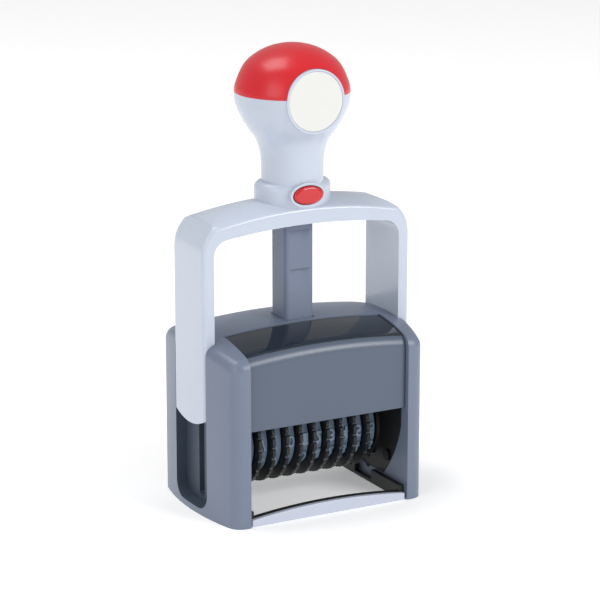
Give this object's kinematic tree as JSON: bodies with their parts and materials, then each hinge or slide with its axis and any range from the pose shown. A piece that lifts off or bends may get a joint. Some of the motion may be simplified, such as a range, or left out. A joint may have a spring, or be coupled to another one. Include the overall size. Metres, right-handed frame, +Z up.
{
  "type": "numbering machine",
  "caption": "Upright self-inking numbering stamp: grey casing, pale bow handle with a round knob and red cap, and rubber number bands on black wheels.",
  "frame": {"origin": "on the desk, at the middle of the machine's foot, under the axis of the knob", "axes": "+X to the right along the printing line, +Y to the rear, +Z up; the front with the index window faces -Y"},
  "size_m": [0.0786, 0.0544, 0.156],
  "materials": {
    "casing_grey": "fine satin moulding, blue-grey",
    "cover_grey": "fine satin moulding, darker blue-grey",
    "post_grey": "satin moulding",
    "clear_window": "clear polished plastic",
    "index_card": "dark coated card",
    "black_plastic": "satin black moulding",
    "pale_trim": "smooth pale moulding",
    "steel_fastener": "zinc plated",
    "spring_steel": "drawn wire",
    "steel_rod": "ground bar",
    "black_pin": "smooth black acetal",
    "handle_pale": "smooth glossy moulding, very pale blue-grey",
    "cap_red": "glossy red moulding",
    "button_red": "glossy red moulding",
    "blank_disc": "bare printed disc left blank",
    "wheel_black": "satin black moulding",
    "band_rubber": "moulded stamp rubber, blue-grey",
    "felt": "ink-soaked felt"
  },
  "bodies": {
    "casing": {"outer_casing": "casing_grey", "front_cover": "cover_grey", "index_window": "clear_window", "index_card": "index_card", "rear_cover": "cover_grey", "base_frame": "black_plastic", "front_lip": "pale_trim", "rear_lip": "pale_trim", "base_screws": "steel_fastener", "cam_plate_left": "black_plastic", "cam_plate_right": "black_plastic", "cam_plate_screws": "steel_fastener", "guide_post": "post_grey", "post_screws": "steel_fastener", "return_spring": "spring_steel"},
    "handle": {"yoke": "handle_pale", "knob_shell": "handle_pale", "knob_cap": "cap_red", "front_label_disc": "blank_disc", "rear_label_disc": "blank_disc", "pivot_pins": "black_pin", "guide_rod": "steel_rod", "rod_nut": "steel_fastener"},
    "print_unit": {"carrier_plate_left": "black_plastic", "carrier_plate_right": "black_plastic", "nose_bar": "black_plastic", "nose_screws": "steel_fastener", "wheel_shaft": "steel_rod", "shaft_nuts": "steel_fastener", "cam_pins": "steel_rod", "number_band_01": "band_rubber", "number_band_02": "band_rubber", "number_band_03": "band_rubber", "number_band_04": "band_rubber", "number_band_05": "band_rubber", "number_band_06": "band_rubber", "number_band_07": "band_rubber", "number_band_08": "band_rubber", "number_band_09": "band_rubber", "number_band_10": "band_rubber"},
    "ink_pad_cartridge": {"pad_tray": "black_plastic", "ink_pad": "felt"},
    "button": {"lock_button": "button_red"},
    "wheel_01": {"number_wheel_01": "wheel_black"},
    "wheel_02": {"number_wheel_02": "wheel_black"},
    "wheel_03": {"number_wheel_03": "wheel_black"},
    "wheel_04": {"number_wheel_04": "wheel_black"},
    "wheel_05": {"number_wheel_05": "wheel_black"},
    "wheel_06": {"number_wheel_06": "wheel_black"},
    "wheel_07": {"number_wheel_07": "wheel_black"},
    "wheel_08": {"number_wheel_08": "wheel_black"},
    "wheel_09": {"number_wheel_09": "wheel_black"},
    "wheel_10": {"number_wheel_10": "wheel_black"}
  },
  "joints": [
    {"name": "handle_press", "type": "slide", "parent": "casing", "child": "handle", "axis": [0, 0, -1], "range_m": [0, 0.0245], "stiffness_N_per_m": 400, "springref_m": -0.02, "deforming": ["return_spring"]},
    {"name": "carrier_flip", "type": "hinge", "parent": "handle", "child": "print_unit", "pos_m": [0, 0, 0.034], "axis": [1, 0, 0], "range_deg": [0, 180]},
    {"name": "pad_slide", "type": "slide", "parent": "casing", "child": "ink_pad_cartridge", "axis": [0, 1, 0], "range_m": [0, 0.047]},
    {"name": "button_press", "type": "slide", "parent": "handle", "child": "button", "axis": [0, 1, 0], "range_m": [0, 0.0018], "stiffness_N_per_m": 300, "springref_m": -0.002},
    {"name": "wheel_01_turn", "type": "hinge", "parent": "print_unit", "child": "wheel_01", "pos_m": [0, 0, 0.022], "axis": [1, 0, 0], "continuous": true},
    {"name": "wheel_02_turn", "type": "hinge", "parent": "print_unit", "child": "wheel_02", "pos_m": [0, 0, 0.022], "axis": [1, 0, 0], "continuous": true},
    {"name": "wheel_03_turn", "type": "hinge", "parent": "print_unit", "child": "wheel_03", "pos_m": [0, 0, 0.022], "axis": [1, 0, 0], "continuous": true},
    {"name": "wheel_04_turn", "type": "hinge", "parent": "print_unit", "child": "wheel_04", "pos_m": [0, 0, 0.022], "axis": [1, 0, 0], "continuous": true},
    {"name": "wheel_05_turn", "type": "hinge", "parent": "print_unit", "child": "wheel_05", "pos_m": [0, 0, 0.022], "axis": [1, 0, 0], "continuous": true},
    {"name": "wheel_06_turn", "type": "hinge", "parent": "print_unit", "child": "wheel_06", "pos_m": [0, 0, 0.022], "axis": [1, 0, 0], "continuous": true},
    {"name": "wheel_07_turn", "type": "hinge", "parent": "print_unit", "child": "wheel_07", "pos_m": [0, 0, 0.022], "axis": [1, 0, 0], "continuous": true},
    {"name": "wheel_08_turn", "type": "hinge", "parent": "print_unit", "child": "wheel_08", "pos_m": [0, 0, 0.022], "axis": [1, 0, 0], "continuous": true},
    {"name": "wheel_09_turn", "type": "hinge", "parent": "print_unit", "child": "wheel_09", "pos_m": [0, 0, 0.022], "axis": [1, 0, 0], "continuous": true},
    {"name": "wheel_10_turn", "type": "hinge", "parent": "print_unit", "child": "wheel_10", "pos_m": [0, 0, 0.022], "axis": [1, 0, 0], "continuous": true}
  ],
  "couplings": [
    {"joint": "carrier_flip", "follows": "handle_press", "rad_per_m": 128.23}
  ]
}
